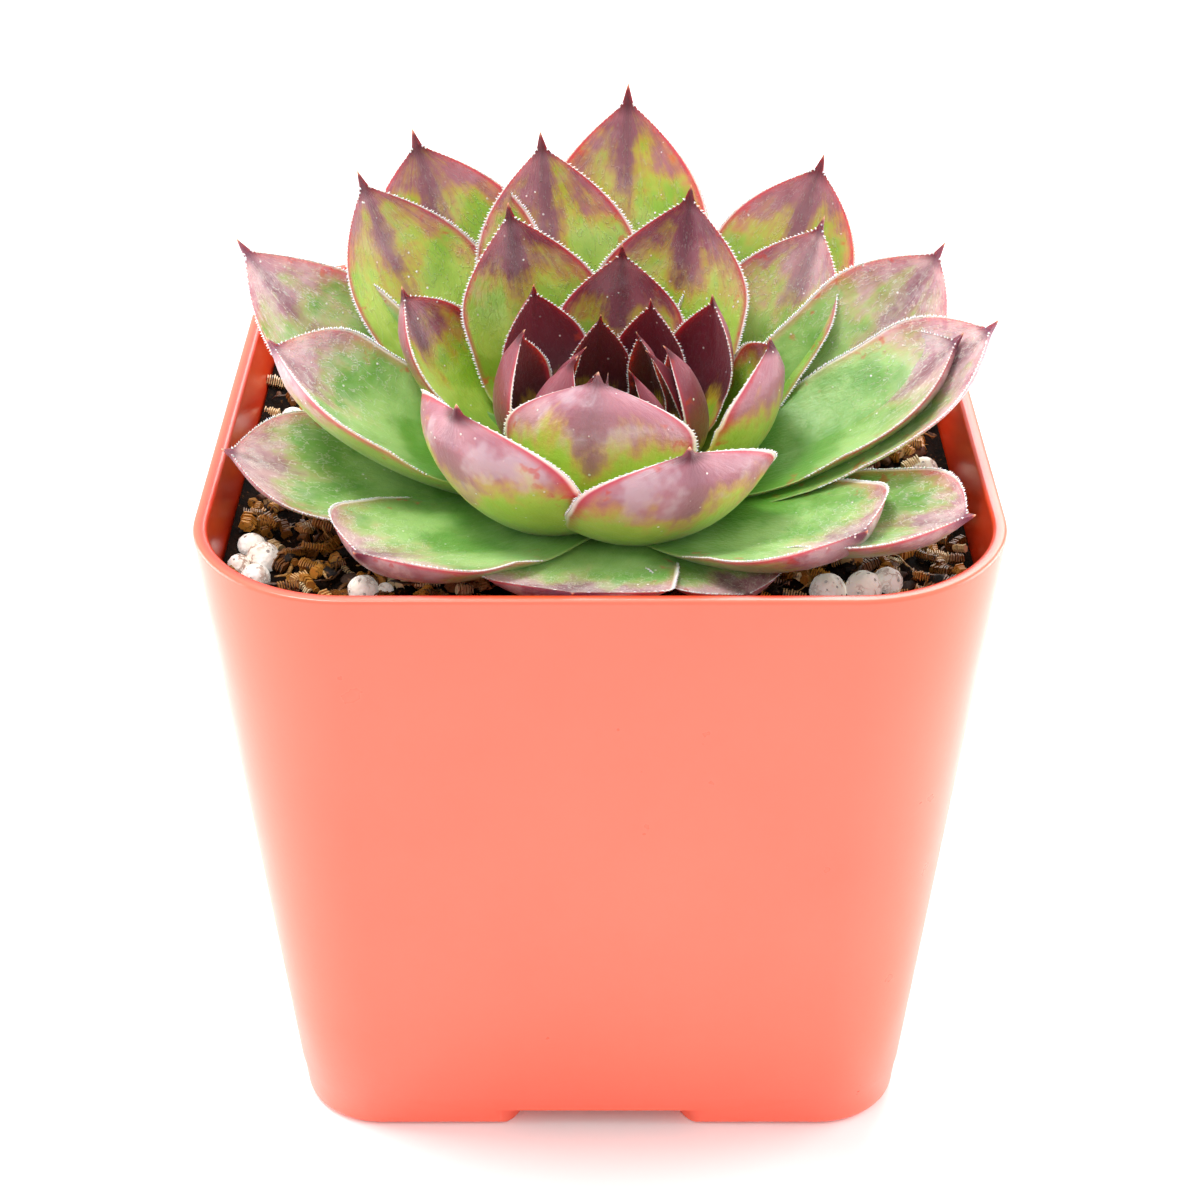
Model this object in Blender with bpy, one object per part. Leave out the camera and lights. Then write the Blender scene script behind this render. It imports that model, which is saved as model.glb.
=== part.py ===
"""A hens and chicks plant (one rosette) growing in a small square plastic pot.

Lengths are in millimetres and angles in degrees until make_mesh turns them into metres.
The origin is at the bottom centre of the pot's four feet. +Z is up and -Y is the front.
"""

import math

import bmesh
import bpy
from mathutils import Vector

METRES_PER_MM = 0.001

# Pot: a tapered square with round corners, on four feet.
POT_TOP_WIDTH = 57.0
POT_BASE_WIDTH = 46.8
POT_HEIGHT = 51.0
POT_TOP_CORNER = 11.5
POT_BASE_CORNER = 6.25
POT_WALL = 1.05
POT_FLOOR_TOP = 3.0
RIM_ROUNDING = 0.3
FOOT_ROUNDING = 0.6
CORNER_STEPS = 6
NOTCH_WIDTH = 12.0
NOTCH_HEIGHT = 1.65
NOTCH_CORNER = 3.0
FOOT_CORNER = 3.4
DRAIN_RADIUS = 3.0
DRAIN_SIDES = 20
CUTTER_OVERRUN = 4.0

# Soil: a plug of potting mix with an uneven top that dips under the crown.
FIT_GAP = 0.3
SOIL_LEVEL = 46.1
SOIL_LUMP = 0.35
SOIL_DISH_DEPTH = 1.3
SOIL_DISH_RADIUS = 9.0
SOIL_RINGS = 7
STEM_HOLE_DEPTH = 9.0

# Rosette: the crown sits a little in front of the pot's middle.
CROWN_X = 0.8
CROWN_Y = -7.5
STEM_RADIUS = 2.2
STEM_BOTTOM = SOIL_LEVEL - STEM_HOLE_DEPTH
STEM_SIDES = 12
CORE_RADIUS = 3.6
CORE_TOP = 54.5
LONGEST_REACH = 28.0
OLD_BASE_HEIGHT = 48.1
YOUNG_BASE_HEIGHT = 49.8
BASE_REACH = 1.4
TIP_STATION = 0.93
STATIONS = (0.0, 0.18, 0.36, 0.52, 0.66, 0.77, 0.86, TIP_STATION)
ACROSS = (-1.0, -0.5, 0.0, 0.5, 1.0)

# One row for each leaf, from the oldest to the youngest: which way its tip points (0 is right,
# 90 is back), how far its tip is from the crown, how high its tip is above the table, how wide
# the blade is, how deeply it is cupped, how far it is rolled about its midrib and how full its
# shoulders are (2 narrows early, 3 is blunt and 8 is nearly square).
LEAVES = (
    (70, 23.0, 57.5, 13.0, 0.25, 0, 2.2),
    (110, 23.0, 57.0, 13.0, 0.25, 0, 2.2),
    (148, 23.5, 55.5, 13.0, 0.25, 0, 2.2),
    (32, 23.5, 56.0, 13.0, 0.25, 0, 2.2),
    (87, 27.5, 69.7, 13.5, 0.28, 0, 2.2),
    (104, 22.5, 67.8, 13.0, 0.28, 0, 2.2),
    (126, 26.0, 68.3, 13.5, 0.20, -22, 2.6),
    (138, 26.0, 66.3, 12.5, 0.30, -8, 2.2),
    (160, 29.6, 63.8, 12.0, 0.28, -16, 2.0),
    (178, 24.8, 60.0, 12.0, 0.42, -6, 3.0),
    (186, 28.2, 53.0, 14.5, 0.12, -4, 2.4),
    (222, 23.6, 51.8, 15.5, 0.13, 4, 2.6),
    (262, 19.0, 50.4, 13.2, 0.06, 0, 8.0),
    (299, 19.3, 49.0, 9.5, 0.10, -4, 2.4),
    (319, 23.0, 53.1, 15.0, 0.16, 0, 3.0),
    (332, 28.2, 53.3, 13.0, 0.20, 0, 3.0),
    (2, 27.8, 61.4, 12.0, 0.28, 14, 3.0),
    (4, 25.5, 60.0, 11.5, 0.28, 6, 3.0),
    (20, 26.3, 64.0, 10.8, 0.24, 34, 2.8),
    (52, 27.0, 66.2, 11.5, 0.24, 30, 2.6),
    (42, 21.8, 63.7, 10.5, 0.32, 8, 2.4),
    (70, 18.0, 65.3, 12.5, 0.32, 0, 2.0),
    (118, 16.5, 64.8, 12.0, 0.32, 0, 2.0),
    (86, 12.5, 62.3, 10.0, 0.32, 0, 2.2),
    (155, 17.0, 61.2, 9.5, 0.42, 2, 3.2),
    (122, 10.8, 60.5, 7.5, 0.35, 0, 2.2),
    (68, 7.8, 60.2, 6.0, 0.35, 0, 2.2),
    (42, 10.0, 60.8, 7.0, 0.35, 0, 2.2),
    (160, 6.6, 60.0, 8.0, 0.40, 0, 2.2),
    (98, 5.2, 59.9, 5.0, 0.35, 0, 2.2),
    (200, 2.5, 59.4, 6.5, 0.40, 0, 2.2),
    (12, 3.8, 59.4, 6.5, 0.40, 0, 2.2),
    (258, 4.4, 59.8, 14.0, 0.38, 0, 3.2),
    (292, 14.0, 58.4, 15.5, 0.14, 2, 3.0),
    (225, 14.9, 60.4, 16.5, 0.28, -4, 3.0),
    (5, 11.4, 60.0, 12.0, 0.42, -12, 2.6),
)

# White grains in the soil: where each bunch starts, its first grain's radius, and then the way
# to each next grain and that grain's radius.
GRAIN_OVERLAP = 0.8
GRAIN_RISE = 0.3
GRAIN_BUNCHES = {
    "perlite_front_left": ((-25.2, -13.0), 1.1, ((-62, 1.2), (214, 0.8), (-42, 1.05))),
    "perlite_front": ((-16.6, -19.6), 1.1, ((25, 0.6),)),
    "perlite_front_right": ((16.0, -19.4), 1.3, ((-12, 1.3), (38, 1.1), (-48, 0.6))),
    "perlite_back_left": ((-24.4, 7.6), 0.95, ((42, 0.6),)),
    "perlite_right": ((24.9, -0.4), 1.0, ((228, 0.6),)),
}

COLOURS = {
    "pot": ((0.95, 0.24, 0.15, 1.0), 0.35),
    "potting_soil": ((0.035, 0.018, 0.010, 1.0), 0.95),
    "rosette": ((0.22, 0.36, 0.10, 1.0), 0.45),
    "perlite": ((0.75, 0.70, 0.60, 1.0), 0.80),
}


def clear_scene():
    for thing in list(bpy.data.objects):
        bpy.data.objects.remove(thing, do_unlink=True)


def material(name):
    found = bpy.data.materials.get(name)
    if found:
        return found
    colour, roughness = COLOURS[name]
    made = bpy.data.materials.new(name)
    made.use_nodes = True
    shader = made.node_tree.nodes["Principled BSDF"]
    shader.inputs["Base Color"].default_value = colour
    shader.inputs["Roughness"].default_value = roughness
    shader.inputs["Metallic"].default_value = 0.0
    return made


def make_mesh(name, points, faces, slot=None):
    """An object from points in millimetres, with its faces turned outwards."""
    mesh = bpy.data.meshes.new(name)
    mesh.from_pydata([tuple(value * METRES_PER_MM for value in point) for point in points], [], faces)
    built = bmesh.new()
    built.from_mesh(mesh)
    bmesh.ops.recalc_face_normals(built, faces=built.faces)
    built.to_mesh(mesh)
    built.free()
    made = bpy.data.objects.new(name, mesh)
    bpy.context.scene.collection.objects.link(made)
    if slot:
        mesh.materials.append(material(slot))
    return made


def loft(rings, first_cap=True, last_cap=True):
    """Points and faces of a skin over rings that all have the same number of points."""
    count = len(rings[0])
    points = [point for ring in rings for point in ring]
    faces = []
    for row in range(len(rings) - 1):
        for here in range(count):
            after = (here + 1) % count
            faces.append(
                (row * count + here, row * count + after, (row + 1) * count + after, (row + 1) * count + here)
            )
    if first_cap:
        faces.append(tuple(reversed(range(count))))
    if last_cap:
        faces.append(tuple(range((len(rings) - 1) * count, len(rings) * count)))
    return points, faces


def rounded_square(half, corner, z):
    """A ring of points round a square with round corners, anticlockwise from the right side."""
    ring = []
    centres = ((1, 1), (-1, 1), (-1, -1), (1, -1))
    for quarter, (side_x, side_y) in enumerate(centres):
        for step in range(CORNER_STEPS + 1):
            angle = math.radians(90 * (quarter + step / CORNER_STEPS))
            x = side_x * (half - corner) + corner * math.cos(angle)
            y = side_y * (half - corner) + corner * math.sin(angle)
            ring.append((x, y, z))
    return ring


def pot_section(z, inset=0.0):
    """The pot's outline at a height, drawn in by an inset."""
    share = z / POT_HEIGHT
    half = (POT_BASE_WIDTH + (POT_TOP_WIDTH - POT_BASE_WIDTH) * share) / 2
    corner = POT_BASE_CORNER + (POT_TOP_CORNER - POT_BASE_CORNER) * share
    return rounded_square(half - inset, corner - inset, z)


def boolean(target, cutter, operation):
    """Applies a Boolean with one object or a whole collection, then removes what it used."""
    modifier = target.modifiers.new("join", "BOOLEAN")
    modifier.operation = operation
    modifier.solver = "EXACT"
    if isinstance(cutter, bpy.types.Collection):
        modifier.operand_type = "COLLECTION"
        modifier.collection = cutter
    else:
        modifier.object = cutter
    graph = bpy.context.evaluated_depsgraph_get()
    result = bpy.data.meshes.new_from_object(target.evaluated_get(graph))
    target.modifiers.clear()
    target.data = result
    if isinstance(cutter, bpy.types.Collection):
        for thing in list(cutter.objects):
            bpy.data.objects.remove(thing, do_unlink=True)
        bpy.data.collections.remove(cutter)
    else:
        bpy.data.objects.remove(cutter, do_unlink=True)


def cylinder(name, x, y, bottom, top, radius, sides):
    rings = []
    for z in (bottom, top):
        ring = []
        for side in range(sides):
            angle = math.tau * side / sides
            ring.append((x + radius * math.cos(angle), y + radius * math.sin(angle), z))
        rings.append(ring)
    return make_mesh(name, *loft(rings))


def arc(x, y, radius, first, last):
    """Points on an arc from its first to its last angle."""
    turns = [math.radians(first + (last - first) * step / CORNER_STEPS) for step in range(CORNER_STEPS + 1)]
    return [(x + radius * math.cos(turn), y + radius * math.sin(turn)) for turn in turns]


def notch_outline():
    """A plus sign that flares at its ends: the channels that leave four round-cornered feet."""
    arm = NOTCH_WIDTH / 2
    reach = POT_BASE_WIDTH / 2 + CUTTER_OVERRUN
    flare = arm + FOOT_CORNER
    flare_start = POT_BASE_WIDTH / 2 + FIT_GAP - FOOT_CORNER
    inner = arm + NOTCH_CORNER
    local = arc(flare_start, -flare, FOOT_CORNER, 90, 0)
    local += [(reach, -flare), (reach, flare)]
    local += arc(flare_start, flare, FOOT_CORNER, 0, -90)
    local += arc(inner, inner, NOTCH_CORNER, 270, 180)
    outline = []
    for quarter in range(4):
        turn = math.radians(90 * quarter)
        for x, y in local:
            outline.append((x * math.cos(turn) - y * math.sin(turn), x * math.sin(turn) + y * math.cos(turn)))
    return outline


def build_pot():
    rings = [
        pot_section(0.0, FOOT_ROUNDING),
        pot_section(FOOT_ROUNDING * 0.3, FOOT_ROUNDING * 0.3),
        pot_section(FOOT_ROUNDING),
        pot_section(POT_HEIGHT / 2),
        pot_section(POT_HEIGHT - RIM_ROUNDING),
        pot_section(POT_HEIGHT - RIM_ROUNDING * 0.3, RIM_ROUNDING * 0.3),
        pot_section(POT_HEIGHT, RIM_ROUNDING),
        pot_section(POT_HEIGHT, POT_WALL - RIM_ROUNDING),
        pot_section(POT_HEIGHT - RIM_ROUNDING * 0.3, POT_WALL - RIM_ROUNDING * 0.3),
        pot_section(POT_HEIGHT - RIM_ROUNDING, POT_WALL),
        pot_section(POT_FLOOR_TOP, POT_WALL),
    ]
    pot = make_mesh("pot", *loft(rings), slot="pot")
    outline = notch_outline()
    notch_rings = [[(x, y, z) for x, y in outline] for z in (-CUTTER_OVERRUN, NOTCH_HEIGHT)]
    boolean(pot, make_mesh("notch_cutter", *loft(notch_rings)), "DIFFERENCE")
    drain = cylinder("drain_cutter", 0, 0, -CUTTER_OVERRUN, POT_FLOOR_TOP + CUTTER_OVERRUN, DRAIN_RADIUS, DRAIN_SIDES)
    boolean(pot, drain, "DIFFERENCE")
    return pot


def soil_height(x, y):
    """The uneven top of the potting mix, with a dish under the crown."""
    lumps = math.sin(x * 0.9 + 0.4) * math.cos(y * 1.1) + 0.6 * math.sin(1.7 * x - 1.3 * y)
    away = math.hypot(x - CROWN_X, y - CROWN_Y) / SOIL_DISH_RADIUS
    dish = SOIL_DISH_DEPTH * math.exp(-away * away)
    calm = 1 - math.exp(-away * away)
    return SOIL_LEVEL + SOIL_LUMP * lumps * calm - dish


def build_soil():
    edge = pot_section(SOIL_LEVEL, POT_WALL + FIT_GAP)
    rings = [
        pot_section(POT_FLOOR_TOP + FIT_GAP, POT_WALL + FIT_GAP + 0.2),
        [(x, y, soil_height(x, y) - 0.15) for x, y, _ in pot_section(SOIL_LEVEL - 1.0, POT_WALL + FIT_GAP + 0.05)],
    ]
    for ring in range(SOIL_RINGS):
        share = 1 - (ring + 0.35) / SOIL_RINGS
        rings.append(
            [
                (
                    CROWN_X + (x - CROWN_X) * share,
                    CROWN_Y + (y - CROWN_Y) * share,
                    soil_height(CROWN_X + (x - CROWN_X) * share, CROWN_Y + (y - CROWN_Y) * share),
                )
                for x, y, _ in edge
            ]
        )
    soil = make_mesh("potting_soil", *loft(rings), slot="potting_soil")
    hole_top = SOIL_LEVEL + CUTTER_OVERRUN
    hole = cylinder(
        "stem_hole", CROWN_X, CROWN_Y, STEM_BOTTOM - FIT_GAP, hole_top, STEM_RADIUS + FIT_GAP, STEM_SIDES
    )
    boolean(soil, hole, "DIFFERENCE")
    return soil


def grain_places(start, radius, hops):
    """The centre and radius of each grain in a bunch, each touching the one before it."""
    x, y = start
    places = [(x, y, soil_height(x, y) + GRAIN_RISE * radius, radius)]
    for way, next_radius in hops:
        hop = GRAIN_OVERLAP * (radius + next_radius)
        x += hop * math.cos(math.radians(way))
        y += hop * math.sin(math.radians(way))
        radius = next_radius
        places.append((x, y, soil_height(x, y) + GRAIN_RISE * radius, radius))
    return places


def grain(name, x, y, z, radius):
    """A knobbly ball."""
    ball = bmesh.new()
    bmesh.ops.create_icosphere(ball, subdivisions=2, radius=radius * METRES_PER_MM)
    for vertex in ball.verts:
        way = vertex.co.normalized()
        vertex.co *= 1 + 0.06 * math.sin(5 * way.x + x) * math.cos(4 * way.y + y)
        vertex.co += Vector((x, y, z)) * METRES_PER_MM
    mesh = bpy.data.meshes.new(name)
    ball.to_mesh(mesh)
    ball.free()
    made = bpy.data.objects.new(name, mesh)
    bpy.context.scene.collection.objects.link(made)
    return made


def join_grains(name, places, swell):
    first = grain(name, *places[0][:3], places[0][3] + swell)
    for x, y, z, radius in places[1:]:
        boolean(first, grain("next_grain", x, y, z, radius + swell), "UNION")
    return first


def build_perlite(soil):
    for name, (start, radius, hops) in GRAIN_BUNCHES.items():
        places = grain_places(start, radius, hops)
        boolean(soil, join_grains("pocket", places, FIT_GAP), "DIFFERENCE")
        bunch = join_grains(name, places, 0.0)
        bunch.data.materials.append(material("perlite"))


def leaf_width(along, shoulder):
    """Half the blade's width as a share of its widest half: a broad foot, shoulders, a small point."""
    widest = 0.66
    foot = 0.62
    if along < widest:
        return foot + (1 - foot) * math.sin(math.pi / 2 * along / widest)
    fall = min(1.0, (along - widest) / (0.965 - widest))
    return max(1 - fall ** shoulder, 1.6 * (1 - along))


def leaf_thickness(along, width):
    """The blade's full thickness at the midrib."""
    full = 0.55 + 0.125 * width
    return full * (1 - 0.62 * along ** 2.4)


def leaf_frame(row, along):
    """The midrib point and the three directions of a leaf: along it, across it, and up from its face."""
    turn, reach, rise, width, cup, roll, shoulder = row
    age = min(1.0, reach / LONGEST_REACH)
    outward = Vector((math.cos(math.radians(turn)), math.sin(math.radians(turn)), 0))
    upward = Vector((0, 0, 1))
    sideways = upward.cross(outward)
    base_height = YOUNG_BASE_HEIGHT + (OLD_BASE_HEIGHT - YOUNG_BASE_HEIGHT) * age
    start = (BASE_REACH, base_height)
    belly = (0.64 * reach + 7.0 * (1 - age) + 1.0, base_height + 0.13 * (rise - base_height))
    end = (reach, rise)
    place = [
        (1 - along) ** 2 * a + 2 * along * (1 - along) * b + along ** 2 * c for a, b, c in zip(start, belly, end)
    ]
    slope = Vector([2 * (1 - along) * (b - a) + 2 * along * (c - b) for a, b, c in zip(start, belly, end)])
    slope.normalize()
    midrib = Vector((CROWN_X, CROWN_Y, 0)) + outward * place[0] + upward * place[1]
    face_up = upward * slope[0] - outward * slope[1]
    tilt = math.radians(roll)
    across = sideways * math.cos(tilt) + face_up * math.sin(tilt)
    face_up = face_up * math.cos(tilt) - sideways * math.sin(tilt)
    return midrib, across, face_up


def leaf_ring(row, along):
    """The closed section of a leaf: its cupped upper face, then its rounded underside."""
    width = row[3]
    cup = row[4]
    midrib, across, face_up = leaf_frame(row, along)
    half = width / 2 * leaf_width(along, row[6])
    thick = leaf_thickness(along, width)
    ring = []
    for s in ACROSS:
        ring.append(midrib + across * (half * s) + face_up * (cup * half * s * s))
    for s in reversed(ACROSS[1:-1]):
        drop = thick * (1 - abs(s) ** 2.5)
        ring.append(midrib + across * (half * s) + face_up * (cup * half * s * s - drop))
    return [tuple(point) for point in ring]


def build_leaf(number, row):
    rings = [leaf_ring(row, along) for along in STATIONS]
    points, faces = loft(rings, last_cap=False)
    tip = len(points)
    points.append(tuple(leaf_frame(row, 1.0)[0]))
    count = len(rings[0])
    last = (len(rings) - 1) * count
    for here in range(count):
        faces.append((last + here, last + (here + 1) % count, tip))
    return make_mesh(f"leaf_{number:02d}", points, faces)


def build_core():
    """The stem in the soil and the crown that the leaves grow from, in one turned shape."""
    profile = (
        (STEM_BOTTOM, 0.6 * STEM_RADIUS),
        (STEM_BOTTOM + 1.5, STEM_RADIUS),
        (SOIL_LEVEL, STEM_RADIUS),
        (OLD_BASE_HEIGHT, CORE_RADIUS),
        (YOUNG_BASE_HEIGHT + 1.0, CORE_RADIUS),
        (CORE_TOP, 0.4 * CORE_RADIUS),
    )
    rings = []
    for z, radius in profile:
        ring = []
        for side in range(STEM_SIDES):
            angle = math.tau * (side + 0.5) / STEM_SIDES
            ring.append((CROWN_X + radius * math.cos(angle), CROWN_Y + radius * math.sin(angle), z))
        rings.append(ring)
    return make_mesh("rosette", *loft(rings), slot="rosette")


def build_rosette():
    rosette = build_core()
    bunch = bpy.data.collections.new("leaves")
    bpy.context.scene.collection.children.link(bunch)
    for number, row in enumerate(LEAVES, 1):
        leaf = build_leaf(number, row)
        bpy.context.scene.collection.objects.unlink(leaf)
        bunch.objects.link(leaf)
    boolean(rosette, bunch, "UNION")
    return rosette


def main():
    clear_scene()
    pot = build_pot()
    soil = build_soil()
    build_perlite(soil)
    rosette = build_rosette()
    for thing in (pot, rosette):
        thing.data.shade_smooth()
        thing.data.set_sharp_from_angle(angle=math.radians(40))


if __name__ == "__main__":
    main()
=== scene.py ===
"""The looks of a hens and chicks plant in its pot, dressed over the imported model.

Lengths are in millimetres and angles in degrees until a mesh is made, which turns them into metres.
The materials and the stage are in metres throughout.
"""

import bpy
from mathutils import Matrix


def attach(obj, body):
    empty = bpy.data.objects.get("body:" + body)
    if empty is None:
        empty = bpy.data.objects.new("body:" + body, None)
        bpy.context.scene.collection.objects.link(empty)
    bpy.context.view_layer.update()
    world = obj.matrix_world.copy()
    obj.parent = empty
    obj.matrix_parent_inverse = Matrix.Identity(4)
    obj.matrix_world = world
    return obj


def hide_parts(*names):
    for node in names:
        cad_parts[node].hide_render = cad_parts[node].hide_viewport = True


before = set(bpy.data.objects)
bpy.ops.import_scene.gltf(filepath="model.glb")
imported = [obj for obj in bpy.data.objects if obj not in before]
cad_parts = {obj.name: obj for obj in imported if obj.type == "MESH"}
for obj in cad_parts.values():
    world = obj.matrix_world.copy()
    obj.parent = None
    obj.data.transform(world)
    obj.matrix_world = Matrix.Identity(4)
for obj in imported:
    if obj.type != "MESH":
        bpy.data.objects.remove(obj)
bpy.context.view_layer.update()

import math
import random
from collections import namedtuple

import bmesh
import bpy
import numpy as np
from mathutils import Vector, noise

METRES_PER_MM = 0.001

# The driving sizes of the solids, with finer steps, and a faint line round the feet.
POT_TOP_WIDTH = 57.0
POT_BASE_WIDTH = 46.8
POT_HEIGHT = 51.0
POT_TOP_CORNER = 11.5
POT_BASE_CORNER = 6.25
POT_WALL = 1.05
POT_FLOOR_TOP = 3.0
RIM_ROUNDING = 0.3
FOOT_ROUNDING = 0.6
FOOT_LINE_HEIGHT = 3.0
FOOT_LINE_DEPTH = 0.08
FOOT_LINE_FADE = 0.25
CORNER_STEPS = 20
EDGE_STEPS = 4
SHARP_ANGLE = 38
NOTCH_WIDTH = 12.0
NOTCH_HEIGHT = 1.65
NOTCH_CORNER = 3.0
FOOT_CORNER = 3.4
DRAIN_RADIUS = 3.0
DRAIN_SIDES = 64
CUTTER_OVERRUN = 4.0

FIT_GAP = 0.3
SOIL_LEVEL = 46.1
SOIL_LUMP = 0.35
SOIL_DISH_DEPTH = 1.3
SOIL_DISH_RADIUS = 9.0
SOIL_RINGS = 70
SOIL_CRUMB = 0.45
SOIL_SKIRT = 1.2

CROWN_X = 0.8
CROWN_Y = -7.5
STEM_RADIUS = 2.2
STEM_BOTTOM = SOIL_LEVEL - 9.0
CORE_RADIUS = 3.6
CORE_TOP = 54.5
LONGEST_REACH = 28.0
OLD_BASE_HEIGHT = 48.1
YOUNG_BASE_HEIGHT = 49.8
BASE_REACH = 1.4

# How a blade widens, narrows and thins. Places along it are shares of its length.
FOOT_SHARE = 0.62
WIDEST_ALONG = 0.66
SHOULDERS_END = 0.965
TIP_SPREAD = 1.6
THICKNESS_START = 0.55
THICKNESS_PER_WIDTH = 0.125
THINNING = 0.62
THINNING_POWER = 2.4
TAPER_LENGTH = 0.14
TAPER_POWER = 0.7

# One row for each leaf: which way its tip points, how far out and how high the tip is, how wide
# the blade is, how deeply it is cupped, how far it is rolled about its midrib and how full its
# shoulders are.
Leaf = namedtuple("Leaf", "turn reach rise width cup roll shoulder")
LEAVES = (
    (70, 23.0, 57.5, 13.0, 0.25, 0, 2.2),
    (110, 23.0, 57.0, 13.0, 0.25, 0, 2.2),
    (148, 23.5, 55.5, 13.0, 0.25, 0, 2.2),
    (32, 23.5, 56.0, 13.0, 0.25, 0, 2.2),
    (87, 27.5, 69.7, 13.5, 0.28, 0, 2.2),
    (104, 22.5, 67.8, 13.0, 0.28, 0, 2.2),
    (126, 26.0, 68.3, 13.5, 0.20, -22, 2.6),
    (138, 26.0, 66.3, 12.5, 0.30, -8, 2.2),
    (160, 29.6, 63.8, 12.0, 0.28, -16, 2.0),
    (178, 24.8, 60.0, 12.0, 0.42, -6, 3.0),
    (186, 28.2, 53.0, 14.5, 0.12, -4, 2.4),
    (222, 23.6, 51.8, 15.5, 0.13, 4, 2.6),
    (262, 19.0, 50.4, 13.2, 0.06, 0, 8.0),
    (299, 19.3, 49.0, 9.5, 0.10, -4, 2.4),
    (319, 23.0, 53.1, 15.0, 0.16, 0, 3.0),
    (332, 28.2, 53.3, 13.0, 0.20, 0, 3.0),
    (2, 27.8, 61.4, 12.0, 0.28, 14, 3.0),
    (4, 25.5, 60.0, 11.5, 0.28, 6, 3.0),
    (20, 26.3, 64.0, 10.8, 0.24, 34, 2.8),
    (52, 27.0, 66.2, 11.5, 0.24, 30, 2.6),
    (42, 21.8, 63.7, 10.5, 0.32, 8, 2.4),
    (70, 18.0, 65.3, 12.5, 0.32, 0, 2.0),
    (118, 16.5, 64.8, 12.0, 0.32, 0, 2.0),
    (86, 12.5, 62.3, 10.0, 0.32, 0, 2.2),
    (155, 17.0, 61.2, 9.5, 0.42, 2, 3.2),
    (122, 10.8, 60.5, 7.5, 0.35, 0, 2.2),
    (68, 7.8, 60.2, 6.0, 0.35, 0, 2.2),
    (42, 10.0, 60.8, 7.0, 0.35, 0, 2.2),
    (160, 6.6, 60.0, 8.0, 0.40, 0, 2.2),
    (98, 5.2, 59.9, 5.0, 0.35, 0, 2.2),
    (200, 2.5, 59.4, 6.5, 0.40, 0, 2.2),
    (12, 3.8, 59.4, 6.5, 0.40, 0, 2.2),
    (258, 4.4, 59.8, 14.0, 0.38, 0, 3.2),
    (292, 14.0, 58.4, 15.5, 0.14, 2, 3.0),
    (225, 14.9, 60.4, 16.5, 0.28, -4, 3.0),
    (5, 11.4, 60.0, 12.0, 0.42, -12, 2.6),
)

# The grains of a bunch only just touch here. The solids overlap more, so that they are one piece.
GRAIN_OVERLAP = 0.96
GRAIN_RISE = 0.3
GRAIN_BUNCHES = {
    "perlite_front_left": ((-25.2, -13.0), 1.1, ((-62, 1.2), (214, 0.8), (-42, 1.05))),
    "perlite_front": ((-16.6, -19.6), 1.1, ((25, 0.6),)),
    "perlite_front_right": ((16.0, -19.4), 1.3, ((-12, 1.3), (38, 1.1), (-48, 0.6))),
    "perlite_back_left": ((-24.4, 7.6), 0.95, ((42, 0.6),)),
    "perlite_right": ((24.9, -0.4), 1.0, ((228, 0.6),)),
}

# How fine the dressed leaves are. The rows crowd towards the tip.
LEAF_ROWS = 54
LEAF_COLUMNS = 24
TIP_CROWDING = 1.25

# The wave of the margins and the groove along the midrib. The groove's width is a share of the
# blade's half width, and its start is a share of the length.
WAVE_HEIGHT = 0.12
GROOVE_DEPTH = 0.16
GROOVE_WIDTH = 0.14
GROOVE_START = 0.35

# The margins are drawn down on the lower half of a blade, where they would stand through the next leaf.
MARGIN_TUCK = 0.6
TUCK_END = 0.54
TUCK_FADE = 0.14

# The fringe of fine white hairs along the margins.
FRINGE_SPACING = 0.24
FRINGE_LENGTH = 0.19
FRINGE_RADIUS = 0.075
FRINGE_START = 0.42
FRINGE_END = 0.965

# Loose pieces lie at random places on the soil. A place outside the cavity, near the stem or under
# a white grain is drawn again. The stacks also stay out of a square in the middle, which the leaves
# hide from the front but not from behind.
DRAW_REACH = 27.0
STEM_CLEARANCE = 3.2
GRAIN_COVER = 0.9
FIBRE_COUNT = 900
FLAKE_COUNT = 520
STACK_COUNT = 1150
STACK_CLEAR = 14.0
CRUMB_COUNT = 70

# Tiny leaves at the heart of the bud, which the solids don't have.
HEART_LEAVES = (
    (20, 2.6, 59.0, 3.0, 0.42, 0, 2.2),
    (150, 2.0, 59.2, 2.8, 0.42, 0, 2.2),
    (262, 1.6, 58.4, 3.0, 0.42, 0, 2.2),
    (60, 3.6, 59.4, 3.2, 0.42, 0, 2.2),
    (330, 1.4, 58.2, 2.4, 0.42, 0, 2.2),
    (215, 1.2, 58.0, 2.2, 0.42, 0, 2.2),
)


def mesh_object(name, points, faces):
    """A new object in the scene, from points in millimetres."""
    mesh = bpy.data.meshes.new(name)
    mesh.from_pydata((np.asarray(points, float) * METRES_PER_MM).tolist(), [], faces)
    mesh.update()
    made = bpy.data.objects.new(name, mesh)
    bpy.context.scene.collection.objects.link(made)
    return made


def make_piece(name, points, faces, slot, replaces=None, smooth=True):
    """A mesh piece that rides on the one body."""
    made = mesh_object(name, points, faces)
    if smooth:
        made.data.shade_smooth()
    declare(made, replaces)
    return made


def declare(made, replaces=None):
    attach(made, "root")
    if replaces:
        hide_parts(replaces)


def set_values(mesh, name, values):
    """Keeps one number for each point of a mesh, which the materials read."""
    kept = mesh.attributes.new(name, "FLOAT", "POINT")
    kept.data.foreach_set("value", np.asarray(values, np.float32))


def loft(rings, first_cap=True, last_cap=True, start=0):
    """Points and faces of a skin over rings that all have the same number of points."""
    count = len(rings[0])
    points = [tuple(point) for ring in rings for point in ring]
    faces = []
    for row in range(len(rings) - 1):
        for here in range(count):
            after = (here + 1) % count
            low = start + row * count
            faces.append((low + here, low + after, low + count + after, low + count + here))
    if first_cap:
        faces.append(tuple(start + here for here in reversed(range(count))))
    if last_cap:
        faces.append(tuple(start + (len(rings) - 1) * count + here for here in range(count)))
    return points, faces


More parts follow.
